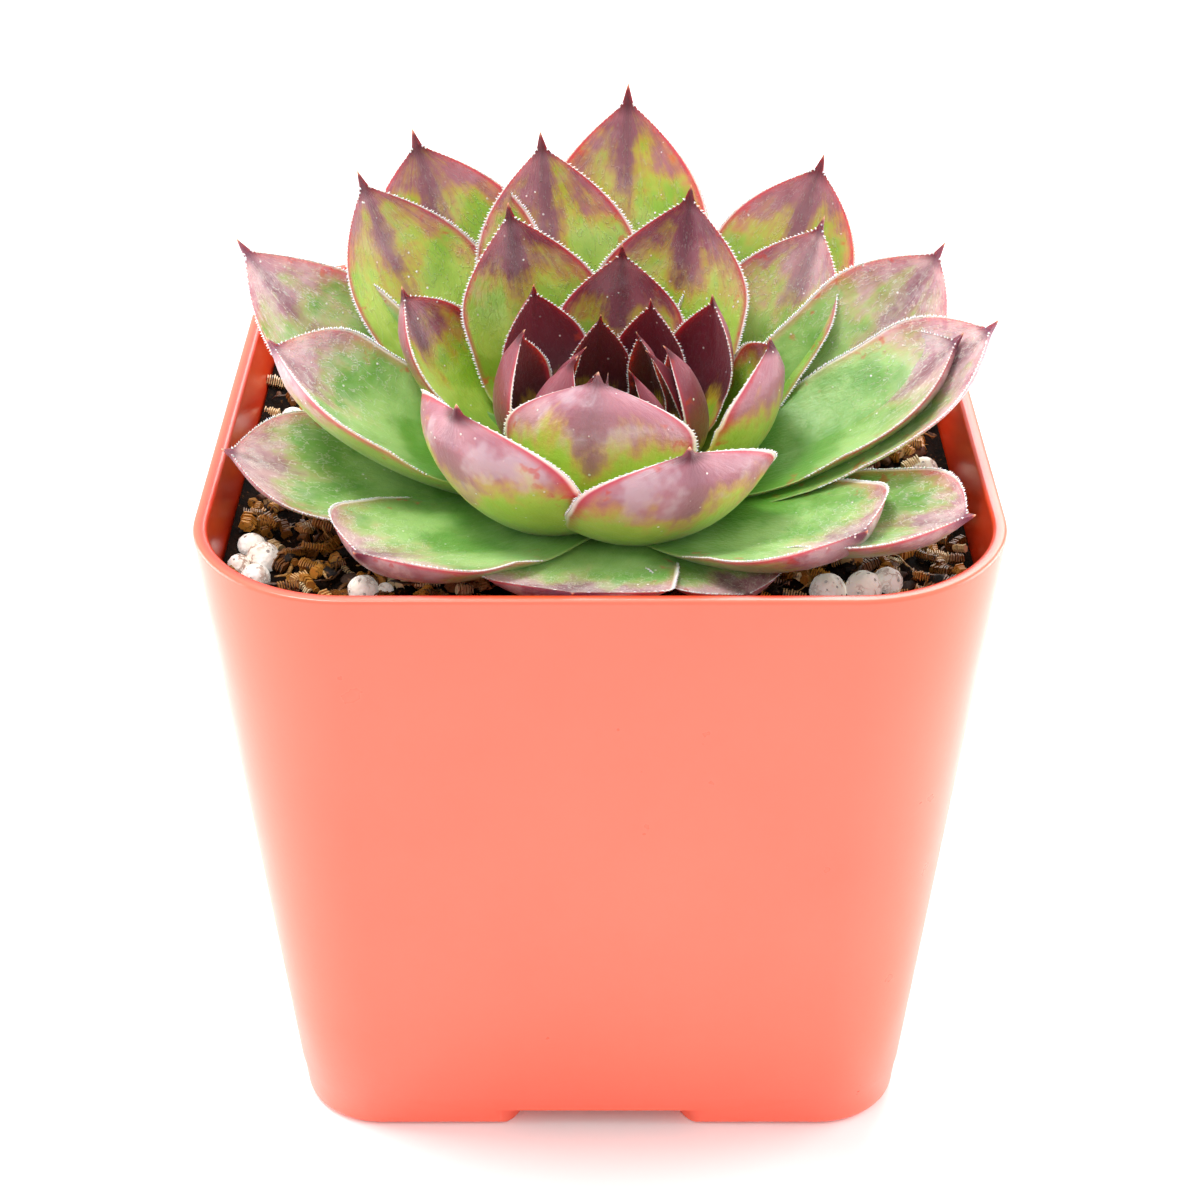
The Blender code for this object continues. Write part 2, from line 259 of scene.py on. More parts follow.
def turn_outwards(made):
    built = bmesh.new()
    built.from_mesh(made.data)
    bmesh.ops.recalc_face_normals(built, faces=built.faces)
    built.to_mesh(made.data)
    built.free()


def rounded_square(half, corner, z):
    ring = []
    for quarter, (side_x, side_y) in enumerate(((1, 1), (-1, 1), (-1, -1), (1, -1))):
        for step in range(CORNER_STEPS + 1):
            angle = math.radians(90 * (quarter + step / CORNER_STEPS))
            x = side_x * (half - corner) + corner * math.cos(angle)
            y = side_y * (half - corner) + corner * math.sin(angle)
            ring.append((x, y, z))
    return ring


def circle(x, y, radius, z, sides):
    turns = [math.tau * side / sides for side in range(sides)]
    return [(x + radius * math.cos(turn), y + radius * math.sin(turn), z) for turn in turns]


def pot_size(z):
    """The pot's half width and the radius of its corners at a height."""
    share = z / POT_HEIGHT
    half = (POT_BASE_WIDTH + (POT_TOP_WIDTH - POT_BASE_WIDTH) * share) / 2
    corner = POT_BASE_CORNER + (POT_TOP_CORNER - POT_BASE_CORNER) * share
    return half, corner


def pot_section(z, inset=0.0):
    half, corner = pot_size(z)
    return rounded_square(half - inset, corner - inset, z)


def corner_reach(x, y, half, corner):
    """How far out in a rounded corner a place is, or 0 within the square between the corners."""
    over_x = max(0.0, abs(x) - (half - corner))
    over_y = max(0.0, abs(y) - (half - corner))
    return math.hypot(over_x, over_y)


def closed_skin(name, points, faces):
    """A mesh for a Boolean, with its faces turned outwards."""
    made = mesh_object(name, points, faces)
    turn_outwards(made)
    return made


def cut(target, cutter):
    modifier = target.modifiers.new("cut", "BOOLEAN")
    modifier.operation = "DIFFERENCE"
    modifier.object = cutter
    graph = bpy.context.evaluated_depsgraph_get()
    result = bpy.data.meshes.new_from_object(target.evaluated_get(graph))
    target.modifiers.clear()
    target.data = result
    bpy.data.objects.remove(cutter, do_unlink=True)


def arc(x, y, radius, first, last):
    """Points on an arc from its first to its last angle."""
    sweep = last - first
    turns = [math.radians(first + sweep * step / CORNER_STEPS) for step in range(CORNER_STEPS + 1)]
    return [(x + radius * math.cos(turn), y + radius * math.sin(turn)) for turn in turns]


def notch_outline():
    """A plus sign that flares at its ends: the channels that leave four round-cornered feet."""
    arm = NOTCH_WIDTH / 2
    reach = POT_BASE_WIDTH / 2 + CUTTER_OVERRUN
    flare = arm + FOOT_CORNER
    flare_start = POT_BASE_WIDTH / 2 + FIT_GAP - FOOT_CORNER
    inner = arm + NOTCH_CORNER
    local = arc(flare_start, -flare, FOOT_CORNER, 90, 0)
    local += [(reach, -flare), (reach, flare)]
    local += arc(flare_start, flare, FOOT_CORNER, 0, -90)
    local += arc(inner, inner, NOTCH_CORNER, 270, 180)
    outline = []
    for quarter in range(4):
        turn = math.radians(90 * quarter)
        cosine, sine = math.cos(turn), math.sin(turn)
        outline += [(x * cosine - y * sine, x * sine + y * cosine) for x, y in local]
    return outline


def rim_sections(rising):
    """Heights and insets that round off the rim's outer edge as it rises, or its inner edge as it falls."""
    sections = []
    for step in range(EDGE_STEPS + 1):
        angle = math.pi / 2 * step / EDGE_STEPS
        if not rising:
            angle = math.pi / 2 - angle
        drop = RIM_ROUNDING * (1 - math.sin(angle))
        inset = RIM_ROUNDING * (1 - math.cos(angle))
        sections.append((POT_HEIGHT - drop, inset))
    return sections


def foot_sections():
    """Heights and insets that round off the pot's lower edge."""
    sections = []
    for step in range(EDGE_STEPS + 1):
        angle = math.pi / 2 * step / EDGE_STEPS
        height = FOOT_ROUNDING * (1 - math.cos(angle))
        inset = FOOT_LINE_DEPTH + FOOT_ROUNDING * (1 - math.sin(angle))
        sections.append((height, inset))
    return sections


def build_pot():
    rings = [pot_section(z, inset) for z, inset in foot_sections()]
    rings.append(pot_section(FOOT_LINE_HEIGHT, FOOT_LINE_DEPTH))
    rings.append(pot_section(FOOT_LINE_HEIGHT + FOOT_LINE_FADE))
    for share in (0.2, 0.4, 0.6, 0.8):
        rings.append(pot_section(POT_HEIGHT * share))
    for z, inset in rim_sections(rising=True):
        rings.append(pot_section(z, inset))
    for z, inset in rim_sections(rising=False):
        rings.append(pot_section(z, POT_WALL - inset))
    for share in (0.8, 0.6, 0.4, 0.2):
        rings.append(pot_section(POT_HEIGHT * share, POT_WALL))
    rings.append(pot_section(POT_FLOOR_TOP, POT_WALL))
    pot = closed_skin("pot_shell", *loft(rings))
    outline = notch_outline()
    notch_rings = [[(x, y, z) for x, y in outline] for z in (-CUTTER_OVERRUN, NOTCH_HEIGHT)]
    cut(pot, closed_skin("notch_cutter", *loft(notch_rings)))
    drain_heights = (-CUTTER_OVERRUN, POT_FLOOR_TOP + CUTTER_OVERRUN)
    drain_rings = [circle(0, 0, DRAIN_RADIUS, z, DRAIN_SIDES) for z in drain_heights]
    cut(pot, closed_skin("drain_cutter", *loft(drain_rings)))
    pot.data.shade_smooth()
    pot.data.set_sharp_from_angle(angle=math.radians(SHARP_ANGLE))
    # Marks the cavity wall, which the material paints darker as painted shade.
    set_values(pot.data, "inside", [float(lies_inside(vertex.co)) for vertex in pot.data.vertices])
    declare(pot, "pot")
    pot.data.materials.append(pot_material())


def lies_inside(point):
    """Whether a point of the pot, in metres, is on its cavity wall rather than on its outer wall."""
    x, y, z = (1000 * value for value in point)
    half, corner = pot_size(z)
    depth = corner - corner_reach(x, y, half, corner)
    least_depth = 0.7 * POT_WALL
    return z > POT_FLOOR_TOP - 0.1 and depth > least_depth


def soil_height(x, y):
    lumps = math.sin(x * 0.9 + 0.4) * math.cos(y * 1.1) + 0.6 * math.sin(1.7 * x - 1.3 * y)
    away = math.hypot(x - CROWN_X, y - CROWN_Y) / SOIL_DISH_RADIUS
    dish = SOIL_DISH_DEPTH * math.exp(-away * away)
    calm = 1 - math.exp(-away * away)
    return SOIL_LEVEL + SOIL_LUMP * lumps * calm - dish


def crumbly_height(x, y):
    """The solid's soil top with crumbs and pits."""
    place = Vector((x, y, 0.0))
    coarse = noise.fractal(place * 0.9, 0.9, 2.1, 5)
    fine = noise.noise(place * 3.1 + Vector((7, 3, 1)))
    return soil_height(x, y) + SOIL_CRUMB * coarse + 0.35 * SOIL_CRUMB * fine


def build_soil():
    edge = pot_section(SOIL_LEVEL, POT_WALL + FIT_GAP * 0.4)
    rings = [
        pot_section(POT_FLOOR_TOP + FIT_GAP, POT_WALL + FIT_GAP),
        [(x, y, SOIL_LEVEL - SOIL_SKIRT) for x, y, _ in edge],
    ]
    for ring in range(SOIL_RINGS):
        share = 1 - ring / SOIL_RINGS
        row = []
        for x, y, _ in edge:
            px = CROWN_X + (x - CROWN_X) * share
            py = CROWN_Y + (y - CROWN_Y) * share
            row.append((px, py, crumbly_height(px, py)))
        rings.append(row)
    soil = make_piece("soil_top", *loft(rings), "potting_soil", "potting_soil")
    turn_outwards(soil)
    soil.data.materials.append(soil_material())
    build_fibres()
    build_flakes()
    build_stacks()
    build_crumbs()


def inside_pot(x, y, margin):
    """Whether a place on the soil is inside the pot's wall by a margin."""
    half, corner = (size - POT_WALL - margin for size in pot_size(SOIL_LEVEL))
    return max(abs(x), abs(y)) <= half and corner_reach(x, y, half, corner) <= corner


def soil_place(draw, margin, clear=0.0):
    """A random place on the soil, away from the stem and from the white grains.

    clear is half the width of a square in the middle that is left out too.
    """
    while True:
        x = draw.uniform(-DRAW_REACH, DRAW_REACH)
        y = draw.uniform(-DRAW_REACH, DRAW_REACH)
        if not inside_pot(x, y, margin) or math.hypot(x - CROWN_X, y - CROWN_Y) < STEM_CLEARANCE:
            continue
        if max(abs(x), abs(y)) < clear:
            continue
        if all(math.hypot(x - gx, y - gy) > radius * GRAIN_COVER for gx, gy, _, radius in ALL_GRAINS):
            return x, y


def build_fibres():
    """Curled golden brown fibres and splinters that lie in the potting mix."""
    draw = random.Random(11)
    points = []
    faces = []
    tints = []
    sides = 4
    links = 6
    flatness = 0.45
    kink = 0.12
    for _ in range(FIBRE_COUNT):
        length = draw.uniform(0.9, 3.4)
        x, y = soil_place(draw, 0.5 + length * 0.45)
        heading = draw.uniform(0, math.tau)
        curl = draw.uniform(-1.5, 1.5)
        lift = draw.uniform(-0.15, 0.5)
        wide = draw.uniform(0.08, 0.24)
        tint = draw.random()
        base = crumbly_height(x, y) + draw.uniform(0.0, 0.35)
        px, py = x - 0.5 * length * math.cos(heading), y - 0.5 * length * math.sin(heading)
        rings = []
        for link in range(links + 1):
            share = link / links
            way = heading + curl * (share - 0.5)
            if link:
                px += length / links * math.cos(way)
                py += length / links * math.sin(way)
            height = base + lift * math.sin(math.pi * share) + kink * math.sin(9 * share + heading)
            girth = wide * (0.35 + 0.65 * math.sin(math.pi * min(0.97, max(0.03, share))))
            twist = 2.5 * share
            ring = []
            for side in range(sides):
                angle = math.tau * side / sides + twist
                flat = math.cos(angle) * girth
                z = height + math.sin(angle) * girth * flatness
                ring.append((px - math.sin(way) * flat, py + math.cos(way) * flat, z))
            rings.append(ring)
        new_points, new_faces = loft(rings, start=len(points))
        points += new_points
        faces += new_faces
        tints += [tint] * len(new_points)
    made = make_piece("soil_fibres", points, faces, "potting_soil")
    turn_outwards(made)
    set_values(made.data, "tint", tints)
    made.data.materials.append(fibre_material())


def lumpy_ball(centre, size, stretch, subdivisions, seed, rough, start=0):
    """Points and triangles of a ball with a knobbly skin; start is the number of its first point."""
    ball = bmesh.new()
    bmesh.ops.create_icosphere(ball, subdivisions=subdivisions, radius=1.0)
    shift = Vector((seed * 3.1, seed * 1.7, seed * 5.3))
    turn = Vector((math.cos(seed * 2.4), math.sin(seed * 2.4), 0))
    points = []
    for vertex in ball.verts:
        way = vertex.co.normalized()
        swell = 1 + rough * noise.fractal(way * 2.2 + shift, 0.8, 2.0, 4)
        x, y, z = way * swell
        x, y = x * stretch[0], y * stretch[1]
        points.append(
            (
                centre[0] + size * (x * turn.x - y * turn.y),
                centre[1] + size * (x * turn.y + y * turn.x),
                centre[2] + size * z * stretch[2],
            )
        )
    faces = [tuple(start + vertex.index for vertex in face.verts) for face in ball.faces]
    ball.free()
    return points, faces


def build_flakes():
    """Dark bark flakes and lumps half sunk in the potting mix."""
    draw = random.Random(23)
    points = []
    faces = []
    tints = []
    for number in range(FLAKE_COUNT):
        size = draw.uniform(0.35, 1.15)
        x, y = soil_place(draw, 0.3 + size)
        stretch = (1.0, draw.uniform(0.45, 0.9), draw.uniform(0.25, 0.6))
        centre = (x, y, crumbly_height(x, y) + draw.uniform(-0.1, 0.25))
        new_points, new_faces = lumpy_ball(centre, size, stretch, 2, number + 1, 0.55, len(points))
        points += new_points
        faces += new_faces
        tints += [draw.random()] * len(new_points)
    made = make_piece("soil_flakes", points, faces, "potting_soil")
    set_values(made.data, "tint", tints)
    made.data.materials.append(flake_material())


def build_stacks():
    """Golden mineral grains in the mix: thin plates stacked like an accordion along a bent line."""
    draw = random.Random(37)
    points = []
    faces = []
    tints = []
    sides = 6
    half_plate = 0.24
    for _ in range(STACK_COUNT):
        wide = draw.uniform(0.34, 0.66)
        layers = draw.randint(6, 10)
        gap = draw.uniform(0.15, 0.20)
        x, y = soil_place(draw, 0.3 + 0.5 * layers * gap, STACK_CLEAR)
        heading = draw.uniform(0, math.tau)
        bend = draw.uniform(-0.5, 0.5) / layers
        pitch = draw.uniform(-0.35, 0.35)
        tint = draw.random()
        spot = Vector((x, y, crumbly_height(x, y) + wide * draw.uniform(0.25, 0.6)))
        outline = [wide * draw.uniform(0.75, 1.1) for _ in range(sides)]
        for layer in range(layers):
            ahead = Vector((math.cos(heading), math.sin(heading), pitch)).normalized()
            side = Vector((-math.sin(heading), math.cos(heading), 0))
            up = ahead.cross(side)
            shrink = draw.uniform(0.70, 1.0)
            rings = []
            for lift in (-half_plate, half_plate):
                ring = []
                for corner, radius in enumerate(outline):
                    angle = math.tau * corner / sides
                    spoke = side * math.cos(angle) + up * math.sin(angle)
                    ring.append(tuple(spot + ahead * (lift * gap) + spoke * (radius * shrink)))
                rings.append(ring)
            new_points, new_faces = loft(rings, start=len(points))
            points += new_points
            faces += new_faces
            tints += [tint] * len(new_points)
            spot = spot + ahead * gap
            heading += bend
    made = make_piece("soil_stacks", points, faces, "potting_soil", smooth=False)
    turn_outwards(made)
    set_values(made.data, "tint", tints)
    made.data.materials.append(stack_material())


def build_crumbs():
    """Small white crumbs that came off the larger grains."""
    draw = random.Random(5)
    points = []
    faces = []
    for number in range(CRUMB_COUNT):
        size = draw.uniform(0.12, 0.34)
        x, y = soil_place(draw, 0.4)
        centre = (x, y, crumbly_height(x, y) + size * 0.5)
        stretch = (1, 0.9, 0.8)
        new_points, new_faces = lumpy_ball(centre, size, stretch, 2, number + 40, 0.4, len(points))
        points += new_points
        faces += new_faces
    made = make_piece("perlite_crumbs", points, faces, "perlite")
    made.data.materials.append(perlite_material())


def grain_places(start, radius, hops):
    """The middle and radius of each grain of a bunch, hopping from one grain to the next."""
    x, y = start
    places = [(x, y, soil_height(x, y) + GRAIN_RISE * radius, radius)]
    for way, next_radius in hops:
        hop = GRAIN_OVERLAP * (radius + next_radius)
        x += hop * math.cos(math.radians(way))
        y += hop * math.sin(math.radians(way))
        radius = next_radius
        places.append((x, y, soil_height(x, y) + GRAIN_RISE * radius, radius))
    return places


ALL_GRAINS = [place for bunch in GRAIN_BUNCHES.values() for place in grain_places(*bunch)]


def build_perlite():
    for order, (name, bunch) in enumerate(GRAIN_BUNCHES.items()):
        points = []
        faces = []
        stretch = (1, 0.97, 0.95)
        for number, (x, y, z, radius) in enumerate(grain_places(*bunch)):
            seed = 10 * order + number + 2
            new_points, new_faces = lumpy_ball((x, y, z), radius, stretch, 5, seed, 0.05, len(points))
            points += new_points
            faces += new_faces
        made = make_piece("grains_" + name[len("perlite_"):], points, faces, "perlite", name)
        made.data.materials.append(perlite_material())


def leaf_width(along, shoulder):
    """The blade's width as a share of its full width."""
    if along < WIDEST_ALONG:
        return FOOT_SHARE + (1 - FOOT_SHARE) * math.sin(math.pi / 2 * along / WIDEST_ALONG)
    fall = min(1.0, (along - WIDEST_ALONG) / (SHOULDERS_END - WIDEST_ALONG))
    return max(1 - fall ** shoulder, TIP_SPREAD * (1 - along))


def leaf_thickness(along, width):
    """The blade's thickness at the midrib, which tapers to nothing at the tip."""
    full = THICKNESS_START + THICKNESS_PER_WIDTH * width
    taper = min(1.0, (1 - along) / TAPER_LENGTH) ** TAPER_POWER
    return full * (1 - THINNING * along ** THINNING_POWER) * taper


def leaf_frame(leaf, along):
    """A place on the midrib, the way across the blade there and the way up from its face."""
    reach = leaf.reach
    age = min(1.0, reach / LONGEST_REACH)
    outward = Vector((math.cos(math.radians(leaf.turn)), math.sin(math.radians(leaf.turn)), 0))
    upward = Vector((0, 0, 1))
    sideways = upward.cross(outward)
    base_height = YOUNG_BASE_HEIGHT + (OLD_BASE_HEIGHT - YOUNG_BASE_HEIGHT) * age
    start = (BASE_REACH, base_height)
    belly = (0.64 * reach + 7.0 * (1 - age) + 1.0, base_height + 0.13 * (leaf.rise - base_height))
    end = (reach, leaf.rise)
    left = 1 - along
    curve = list(zip(start, belly, end))
    place = [left ** 2 * a + 2 * along * left * b + along ** 2 * c for a, b, c in curve]
    slope = Vector([2 * left * (b - a) + 2 * along * (c - b) for a, b, c in curve])
    slope.normalize()
    midrib = Vector((CROWN_X, CROWN_Y, 0)) + outward * place[0] + upward * place[1]
    face_up = upward * slope[0] - outward * slope[1]
    tilt = math.radians(leaf.roll)
    across = sideways * math.cos(tilt) + face_up * math.sin(tilt)
    face_up = face_up * math.cos(tilt) - sideways * math.sin(tilt)
    return midrib, across, face_up


def leaf_point(leaf, seed, along, s, under):
    """A point on the blade's upper face or underside; s runs from one margin to the other, -1 to 1."""
    midrib, across, face_up = leaf_frame(leaf, along)
    width = leaf_width(along, leaf.shoulder)
    half = leaf.width / 2 * width
    wave = WAVE_HEIGHT * abs(s) ** 3 * math.sin(19 * along + seed * 5 + 2 * s) * (1 - along)
    height = leaf.cup * half * s * s + wave
    if not under:
        begun = min(1.0, max(0.0, (along - GROOVE_START) * 3))
        height -= GROOVE_DEPTH * math.exp(-(s / GROOVE_WIDTH) ** 2) * begun * width
    height -= MARGIN_TUCK * s ** 4 * min(1.0, max(0.0, (TUCK_END - along) / TUCK_FADE))
    if under:
        height -= leaf_thickness(along, leaf.width) * (1 - abs(s) ** 2.5)
    point = midrib + across * (half * s) + face_up * height
    # The leaf that points right would otherwise stand outside the solids' box.
    point.x = min(point.x, POT_TOP_WIDTH / 2)
    return point


def leaf_warmth(leaf):
    """How sunlit and yellow a leaf is, from 0 for the low outer ones to 1 for the steep and inner ones."""
    near = (25.0 - leaf.reach) / 6.0 if leaf.rise > 55 else 0.0
    steep = (leaf.rise - 63.5) / 3.0
    return min(1.0, max(0.0, near, steep))


def leaf_dust(leaf):
    """How dusty and pale the blush of a leaf is: 1 for the outermost leaves."""
    return min(1.0, max(0.0, (leaf.reach - 19.0) / 4.0))


def leaf_bud(leaf):
    """How much a leaf belongs to the bud in the middle, from 0 to 1; bud leaves get their own dark maroon
    and painted shade.
    """
    return min(1.0, max(0.0, (10.5 - leaf.width) / 2.5)) if leaf.reach < 13 else 0.0


def build_leaf(name, seed, leaf, leaf_look, fringe_look, replaces):
    alongs = [1 - (1 - step / LEAF_ROWS) ** TIP_CROWDING for step in range(LEAF_ROWS)]
    top = [-math.cos(math.pi * column / LEAF_COLUMNS) for column in range(LEAF_COLUMNS + 1)]
    bottom = list(reversed(top[1:-1]))
    rings = []
    values = {"along": [], "across": [], "under": []}
    for along in alongs:
        ring = [leaf_point(leaf, seed, along, s, False) for s in top]
        ring += [leaf_point(leaf, seed, along, s, True) for s in bottom]
        rings.append(ring)
        values["along"] += [along] * len(ring)
        values["across"] += top + bottom
        values["under"] += [0.0] * len(top) + [1.0] * len(bottom)
    points, faces = loft(rings, last_cap=False)
    tip = len(points)
    points.append(tuple(leaf_frame(leaf, 1.0)[0]))
    count = len(rings[0])
    last = (len(rings) - 1) * count
    faces += [(last + here, last + (here + 1) % count, tip) for here in range(count)]
    values["along"].append(1.0)
    values["across"].append(0.0)
    values["under"].append(0.5)
    skin_faces = len(faces)
    fringe_points, fringe_faces = build_fringe(leaf, seed, len(points))
    points += fringe_points
    faces += fringe_faces
    for kept in values.values():
        kept += [0.0] * len(fringe_points)
    made = make_piece(name, points, faces, "rosette", replaces)
    turn_outwards(made)
    values["warmth"] = [leaf_warmth(leaf)] * len(points)
    values["dust"] = [leaf_dust(leaf)] * len(points)
    values["seed"] = [seed] * len(points)
    values["bud"] = [leaf_bud(leaf)] * len(points)
    for kind, kept in values.items():
        set_values(made.data, kind, kept)
    made.data.materials.append(leaf_look)
    made.data.materials.append(fringe_look)
    for face in made.data.polygons[skin_faces:]:
        face.material_index = 1


def build_fringe(leaf, seed, start):
    """Fine white hairs along both margins of a leaf, each a slim three-sided spike.

    Slim leaves have finer and closer hairs.
    """
    draw = random.Random(int(seed * 1000))
    rough_length = leaf.reach * 1.25 + 4
    scale = 0.55 + 0.45 * min(1.0, leaf.width / 12)
    span = FRINGE_END - FRINGE_START
    count = int(rough_length * span / (FRINGE_SPACING * scale))
    points = []
    faces = []
    for side in (-1, 1):
        for hair in range(count):
            along = FRINGE_START + span * (hair + draw.uniform(-0.3, 0.3)) / count
            here = leaf_point(leaf, seed, along, side, False)
            ahead = leaf_point(leaf, seed, min(0.99, along + 0.01), side, False)
            run = (ahead - here).normalized()
            _, across, face_up = leaf_frame(leaf, along)
            out = (across * side + run * 0.45 + face_up * draw.uniform(-0.15, 0.45)).normalized()
            tall = FRINGE_LENGTH * scale * draw.uniform(0.65, 1.15)
            thick = FRINGE_RADIUS * scale
            first = start + len(points)
            other = out.cross(run).normalized()
            root = here - out * 0.08
            for angle in (0, math.tau / 3, 2 * math.tau / 3):
                spoke = run * math.cos(angle) * 1.6 + other * math.sin(angle)
                points.append(tuple(root + spoke * thick))
            points.append(tuple(here + out * tall))
            corners = ((0, 1, 3), (1, 2, 3), (2, 0, 3), (0, 2, 1))
            faces += [tuple(first + corner for corner in face) for face in corners]
    return points, faces


def build_core():
    profile = (
        (STEM_BOTTOM, 0.6 * STEM_RADIUS),
        (STEM_BOTTOM + 1.5, STEM_RADIUS),
        (SOIL_LEVEL, STEM_RADIUS),
        (OLD_BASE_HEIGHT, CORE_RADIUS),
        (YOUNG_BASE_HEIGHT + 1.0, CORE_RADIUS),
        (CORE_TOP, 0.4 * CORE_RADIUS),
    )
    rings = [circle(CROWN_X, CROWN_Y, radius, z, 32) for z, radius in profile]
    core = make_piece("crown_and_stem", *loft(rings), "rosette", "rosette")
    core.data.materials.append(stem_material())


class Nodes:
    """Short calls that build a material's node tree."""

    def __init__(self, name):
        self.material = bpy.data.materials.new(name)
        self.material.use_nodes = True
        self.tree = self.material.node_tree
        self.shader = self.tree.nodes["Principled BSDF"]

    def add(self, kind, **settings):
        node = self.tree.nodes.new(kind)
        for key, value in settings.items():
            setattr(node, key, value)
        return node

    def join(self, value, socket):
        if isinstance(value, bpy.types.NodeSocket):
            self.tree.links.new(value, socket)
        else:
            socket.default_value = value

    def value(self, name):
        return self.add("ShaderNodeAttribute", attribute_name=name).outputs["Fac"]

    def place(self):
        return self.add("ShaderNodeTexCoord").outputs["Object"]

    def work_out(self, operation, first, second=0.0):
        node = self.add("ShaderNodeMath", operation=operation)
        self.join(first, node.inputs[0])
        self.join(second, node.inputs[1])
        return node.outputs[0]

    def plus(self, first, second):
        return self.work_out("ADD", first, second)

    def minus(self, first, second):
        return self.work_out("SUBTRACT", first, second)

    def times(self, first, second):
        return self.work_out("MULTIPLY", first, second)

    def size(self, value):
        """A number without its sign."""
        return self.work_out("ABSOLUTE", value)

    def rest(self, value):
        """What is left of 1."""
        return self.minus(1.0, value)

    def step(self, value, low, high):
        """A soft step from 0 at low to 1 at high; low may be the larger of the two."""
        node = self.add("ShaderNodeMapRange", interpolation_type="SMOOTHSTEP")
        self.join(value, node.inputs["Value"])
        self.join(low, node.inputs["From Min"])
        self.join(high, node.inputs["From Max"])
        return node.outputs["Result"]

    def mix(self, share, first, second, kind="RGBA"):
        """A colour between two."""
        node = self.add("ShaderNodeMix", data_type=kind, clamp_factor=True)
        self.join(share, node.inputs["Factor"])
        self.join(first, node.inputs["A"])
        self.join(second, node.inputs["B"])
        return node.outputs["Result"]

    def blend(self, share, first, second):
        """A number between two."""
        return self.mix(share, first, second, "FLOAT")

    def noise(self, vector, scale, detail=3.0, roughness=0.55):
        node = self.add("ShaderNodeTexNoise")
        self.join(vector, node.inputs["Vector"])
        node.inputs["Scale"].default_value = scale
        node.inputs["Detail"].default_value = detail
        node.inputs["Roughness"].default_value = roughness
        return node.outputs["Fac"]

    def cells(self, vector, scale):
        node = self.add("ShaderNodeTexVoronoi")
        self.join(vector, node.inputs["Vector"])
        node.inputs["Scale"].default_value = scale
        return node.outputs["Distance"]

    def triple(self, x, y, z):
        node = self.add("ShaderNodeCombineXYZ")
        self.join(x, node.inputs[0])
        self.join(y, node.inputs[1])
        self.join(z, node.inputs[2])
        return node.outputs[0]

    def bump(self, height, distance, strength=1.0, onto=None):
        node = self.add("ShaderNodeBump")
        node.inputs["Strength"].default_value = strength
        node.inputs["Distance"].default_value = distance
        self.join(height, node.inputs["Height"])
        if onto:
            self.join(onto, node.inputs["Normal"])
        return node.outputs["Normal"]

    def finish(self, colour, roughness, normal=None, **settings):
        self.join(colour, self.shader.inputs["Base Color"])
        self.join(roughness, self.shader.inputs["Roughness"])
        if normal:
            self.join(normal, self.shader.inputs["Normal"])
        for key, value in settings.items():
            self.shader.inputs[key.replace("_", " ")].default_value = value
        return self.material


def srgb(red, green, blue):
    """A colour named by its 0 to 255 screen values."""
    linear = []
    for value in (red, green, blue):
        share = value / 255
        linear.append(share / 12.92 if share <= 0.04045 else ((share + 0.055) / 1.055) ** 2.4)
    return (*linear, 1.0)


def pot_material():
    made = Nodes("coral_plastic")
    place = made.place()
    cloud = made.noise(place, 60, 3)
    grain = made.noise(place, 2600, 2)
    colour = made.mix(cloud, srgb(250, 98, 72), srgb(255, 110, 84))
    # The cavity wall is the same plastic, painted a darker, deeper red as painted shade.
    colour = made.mix(made.value("inside"), colour, srgb(204, 48, 8))
    rough = made.blend(made.noise(place, 240, 4), 0.24, 0.36)
    return made.finish(colour, rough, made.bump(grain, 0.00002, 0.35), Coat_Weight=0.25, Coat_Roughness=0.3)


def soil_material():
    made = Nodes("dark_potting_mix")
    place = made.place()
    patches = made.noise(place, 700, 6, 0.7)
    colour = made.mix(made.step(patches, 0.35, 0.7), srgb(5, 3, 2), srgb(36, 20, 10))
    colour = made.mix(made.step(made.noise(place, 2600, 3), 0.62, 0.75), colour, srgb(120, 76, 36))
    skin = made.bump(made.noise(place, 1800, 8, 0.7), 0.0004, 0.9)
    return made.finish(colour, 0.9, skin, Specular_IOR_Level=0.1)


def fibre_material():
    made = Nodes("coir_fibre")
    place = made.place()
    tint = made.value("tint")
    colour = made.mix(made.step(tint, 0.0, 0.6), srgb(52, 28, 12), srgb(150, 96, 40))
    colour = made.mix(made.step(tint, 0.6, 1.0), colour, srgb(214, 172, 104))
    colour = made.mix(made.step(made.noise(place, 2500, 3), 0.45, 0.7), colour, srgb(40, 20, 10))
    return made.finish(colour, 0.38, made.bump(made.noise(place, 5200, 3), 0.0001, 0.6))


def stack_material():
    made = Nodes("golden_mineral")
    place = made.place()
    tint = made.value("tint")
    colour = made.mix(made.step(tint, 0.0, 0.7), srgb(120, 72, 22), srgb(216, 152, 60))
    colour = made.mix(made.step(tint, 0.70, 1.0), colour, srgb(244, 222, 176))
    colour = made.mix(made.step(made.noise(place, 2200, 4), 0.54, 0.70), colour, srgb(30, 14, 5))
    rough = made.blend(made.noise(place, 3000, 2), 0.22, 0.5)
    skin = made.bump(made.noise(place, 6000, 3), 0.00008, 0.6)
    return made.finish(colour, rough, skin, Specular_IOR_Level=0.8)


def flake_material():
    made = Nodes("bark_flake")
    place = made.place()
    tint = made.value("tint")
    colour = made.mix(made.step(tint, 0.1, 1.0), srgb(20, 11, 8), srgb(98, 60, 32))
    colour = made.mix(made.step(made.noise(place, 1700, 5), 0.55, 0.75), colour, srgb(150, 104, 62))
    return made.finish(colour, 0.7, made.bump(made.noise(place, 3000, 6, 0.7), 0.0002, 0.8))


